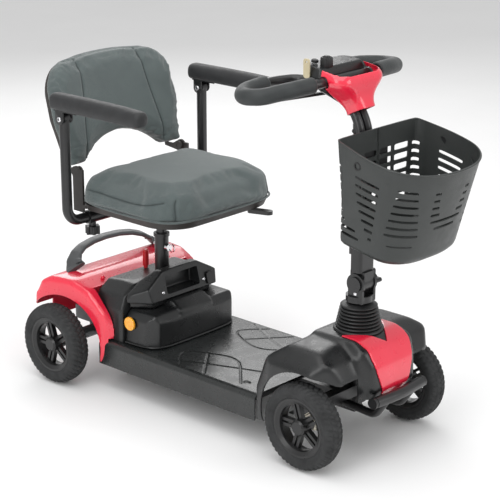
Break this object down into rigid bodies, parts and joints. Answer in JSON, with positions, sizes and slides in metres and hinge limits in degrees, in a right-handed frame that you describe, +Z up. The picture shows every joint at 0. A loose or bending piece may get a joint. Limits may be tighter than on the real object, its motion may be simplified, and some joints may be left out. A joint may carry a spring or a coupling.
{
  "type": "mobility scooter",
  "caption": "Compact electric mobility scooter with a swivelling armchair seat, flat deck, folding tiller with looped handlebar and a front basket.",
  "frame": {"origin": "on the floor, under the centre of the whole object's bounding box", "axes": "+Z up, -Y towards the front wheels and basket, +X to the rider's left"},
  "size_m": [0.506, 1.1326, 0.8888],
  "materials": {
    "wheel_plastic": "satin black moulded wheel",
    "tyre": "matt rubber with block tread",
    "plated_steel": "zinc plated",
    "black_paint": "satin black powder coat",
    "cast_metal": "as cast",
    "motor_paint": "black enamel",
    "moulded_black": "fine-textured satin black moulding",
    "red_gloss": "glossy pinkish red paint",
    "boot_rubber": "satin pleated rubber",
    "amber_lens": "prismatic amber reflector",
    "grey_handle": "grey satin handle",
    "red_plastic": "dipped red grip",
    "cell_plastic": "dark grey battery blocks",
    "chrome": "bright chrome",
    "seat_plastic": "dark brown-grey seat shell",
    "seat_fabric": "grey-green woven upholstery",
    "soft_black": "soft satin black padding",
    "control_plastic": "black control plastic",
    "foam": "closed-cell foam sleeve",
    "key_plastic": "beige key bow",
    "cable": "black cable sleeve",
    "basket_plastic": "dark grey moulded basket"
  },
  "bodies": {
    "chassis": {"main_frame": "black_paint", "stem_bearings": "plated_steel", "transaxle": "cast_metal", "drive_motor": "motor_paint", "controller": "cast_metal", "floor_deck": "moulded_black", "front_shroud": "moulded_black", "front_panel": "red_gloss", "front_bumper": "black_paint", "steering_boot": "boot_rubber", "rear_shroud": "red_gloss", "rear_cover": "moulded_black", "rear_handle": "grey_handle"},
    "stem": {"steering_stem": "black_paint"},
    "knuckle_left": {"steering_knuckle_left": "plated_steel"},
    "tie_rod_left": {"tie_rod_left": "plated_steel"},
    "front_wheel_left": {"front_rim_left": "wheel_plastic", "front_tyre_left": "tyre"},
    "rear_wheel_left": {"rear_rim_left": "wheel_plastic", "rear_tyre_left": "tyre"},
    "knuckle_right": {"steering_knuckle_right": "plated_steel"},
    "tie_rod_right": {"tie_rod_right": "plated_steel"},
    "front_wheel_right": {"front_rim_right": "wheel_plastic", "front_tyre_right": "tyre"},
    "rear_wheel_right": {"rear_rim_right": "wheel_plastic", "rear_tyre_right": "tyre"},
    "tiller": {"tiller_column": "black_paint", "head_cover": "red_gloss", "console": "moulded_black", "handlebar": "black_paint", "grips": "foam", "wiring_loom": "cable", "basket_bracket": "control_plastic"},
    "fold_knob": {"fold_knob": "control_plastic"},
    "throttle": {"throttle_lever": "control_plastic"},
    "speed_dial": {"speed_dial": "control_plastic"},
    "horn_button": {"horn_button": "control_plastic"},
    "ignition_key": {"ignition_key": "key_plastic"},
    "basket": {"basket": "basket_plastic"},
    "battery": {"battery_case": "moulded_black", "battery_cells": "cell_plastic", "battery_hood": "moulded_black", "reflectors": "amber_lens"},
    "socket_cover": {"socket_cover": "moulded_black"},
    "freewheel_lever": {"freewheel_lever": "red_plastic"},
    "seat_post": {"seat_post": "black_paint"},
    "post_pin": {"post_pin": "chrome"},
    "seat": {"seat_bracket": "black_paint", "seat_shell": "seat_plastic", "seat_cushion": "seat_fabric"},
    "swivel_lever": {"swivel_lever": "black_paint"},
    "backrest": {"backrest_cushion": "seat_fabric", "backrest_shell": "seat_plastic"},
    "arm_left": {"arm_tube_left": "black_paint"},
    "armrest_left": {"armrest_left": "soft_black"},
    "arm_knob_left": {"arm_knob_left": "control_plastic"},
    "arm_right": {"arm_tube_right": "black_paint"},
    "armrest_right": {"armrest_right": "soft_black"},
    "arm_knob_right": {"arm_knob_right": "control_plastic"}
  },
  "joints": [
    {"name": "steering", "type": "hinge", "parent": "chassis", "child": "stem", "pos_m": [0, -0.3117, 0.2], "axis": [0, 0, 1], "range_deg": [-30, 30]},
    {"name": "knuckle_left", "type": "hinge", "parent": "chassis", "child": "knuckle_left", "pos_m": [0.14, -0.3117, 0.1], "axis": [0, 0, 1], "range_deg": [-30, 30]},
    {"name": "tie_rod_left", "type": "hinge", "parent": "stem", "child": "tie_rod_left", "pos_m": [0.01, -0.2667, 0.091], "axis": [0, 0, 1], "range_deg": [-30, 30]},
    {"name": "front_wheel_left", "type": "hinge", "parent": "knuckle_left", "child": "front_wheel_left", "pos_m": [0.1855, -0.3117, 0.1], "axis": [1, 0, 0], "continuous": true},
    {"name": "rear_wheel_left", "type": "hinge", "parent": "chassis", "child": "rear_wheel_left", "pos_m": [0.22, 0.4663, 0.1], "axis": [1, 0, 0], "continuous": true},
    {"name": "knuckle_right", "type": "hinge", "parent": "chassis", "child": "knuckle_right", "pos_m": [-0.14, -0.3117, 0.1], "axis": [0, 0, 1], "range_deg": [-30, 30]},
    {"name": "tie_rod_right", "type": "hinge", "parent": "stem", "child": "tie_rod_right", "pos_m": [-0.01, -0.2667, 0.091], "axis": [0, 0, 1], "range_deg": [-30, 30]},
    {"name": "front_wheel_right", "type": "hinge", "parent": "knuckle_right", "child": "front_wheel_right", "pos_m": [-0.1855, -0.3117, 0.1], "axis": [1, 0, 0], "continuous": true},
    {"name": "rear_wheel_right", "type": "hinge", "parent": "chassis", "child": "rear_wheel_right", "pos_m": [-0.22, 0.4663, 0.1], "axis": [1, 0, 0], "continuous": true},
    {"name": "tiller_fold", "type": "hinge", "parent": "stem", "child": "tiller", "pos_m": [0, -0.3187, 0.387], "axis": [-1, 0, 0], "range_deg": [0, 40]},
    {"name": "fold_knob", "type": "hinge", "parent": "stem", "child": "fold_knob", "pos_m": [0.033, -0.3187, 0.387], "axis": [1, 0, 0], "continuous": true},
    {"name": "throttle", "type": "hinge", "parent": "tiller", "child": "throttle", "pos_m": [0, -0.2277, 0.802], "axis": [0, 0, 1], "range_deg": [-12, 12], "stiffness_Nm_per_rad": 1},
    {"name": "speed_dial", "type": "hinge", "parent": "tiller", "child": "speed_dial", "pos_m": [-0.04, -0.24149, 0.87669], "axis": [0, -0.1564, 0.9877], "range_deg": [-135, 135]},
    {"name": "horn_press", "type": "slide", "parent": "tiller", "child": "horn_button", "axis": [0, 0.1564, -0.9877], "range_m": [0, 0.002], "stiffness_N_per_m": 400},
    {"name": "key_turn", "type": "hinge", "parent": "tiller", "child": "ignition_key", "pos_m": [-0.075, -0.2197, 0.85], "axis": [-1, 0, 0], "range_deg": [0, 60]},
    {"name": "basket_lift", "type": "slide", "parent": "tiller", "child": "basket", "axis": [0, 0, 1], "range_m": [0, 0.15]},
    {"name": "battery_lift", "type": "slide", "parent": "chassis", "child": "battery", "axis": [0, -0.8, 0.6], "range_m": [0, 0.15]},
    {"name": "socket_cover", "type": "hinge", "parent": "battery", "child": "socket_cover", "pos_m": [0.092, 0.23559, 0.2606], "axis": [-1, 0, 0], "range_deg": [0, 110]},
    {"name": "freewheel", "type": "hinge", "parent": "chassis", "child": "freewheel_lever", "pos_m": [0, 0.3703, 0.236], "axis": [-1, 0, 0], "range_deg": [0, 18]},
    {"name": "seat_height", "type": "slide", "parent": "chassis", "child": "seat_post", "axis": [0, 0, 1], "range_m": [-0.025, 0.05]},
    {"name": "post_pin", "type": "slide", "parent": "chassis", "child": "post_pin", "axis": [0, -1, 0], "range_m": [0, 0.05]},
    {"name": "seat_swivel", "type": "hinge", "parent": "seat_post", "child": "seat", "pos_m": [0, 0.3123, 0.404], "axis": [0, 0, 1], "continuous": true},
    {"name": "swivel_lever", "type": "hinge", "parent": "seat", "child": "swivel_lever", "pos_m": [0.07, 0.2223, 0.444], "axis": [0, 0, 1], "range_deg": [0, 9], "stiffness_Nm_per_rad": 1.5},
    {"name": "backrest_fold", "type": "hinge", "parent": "seat", "child": "backrest", "pos_m": [0, 0.4183, 0.538], "axis": [1, 0, 0], "range_deg": [0, 50]},
    {"name": "arm_width_left", "type": "slide", "parent": "seat", "child": "arm_left", "axis": [1, 0, 0], "range_m": [0, 0.04]},
    {"name": "armrest_lift_left", "type": "hinge", "parent": "arm_left", "child": "armrest_left", "pos_m": [0.23, 0.3943, 0.682], "axis": [-1, 0, 0], "range_deg": [0, 90]},
    {"name": "arm_knob_left", "type": "hinge", "parent": "seat", "child": "arm_knob_left", "pos_m": [0.152, 0.3943, 0.39], "axis": [0, 0, 1], "continuous": true},
    {"name": "arm_width_right", "type": "slide", "parent": "seat", "child": "arm_right", "axis": [-1, 0, 0], "range_m": [0, 0.04]},
    {"name": "armrest_lift_right", "type": "hinge", "parent": "arm_right", "child": "armrest_right", "pos_m": [-0.23, 0.3943, 0.682], "axis": [-1, 0, 0], "range_deg": [0, 90]},
    {"name": "arm_knob_right", "type": "hinge", "parent": "seat", "child": "arm_knob_right", "pos_m": [-0.152, 0.3943, 0.39], "axis": [0, 0, 1], "continuous": true}
  ],
  "couplings": [
    {"joint": "knuckle_left", "follows": "steering", "ratio": 1},
    {"joint": "tie_rod_left", "follows": "steering", "ratio": -1},
    {"joint": "knuckle_right", "follows": "steering", "ratio": 1},
    {"joint": "tie_rod_right", "follows": "steering", "ratio": -1}
  ]
}
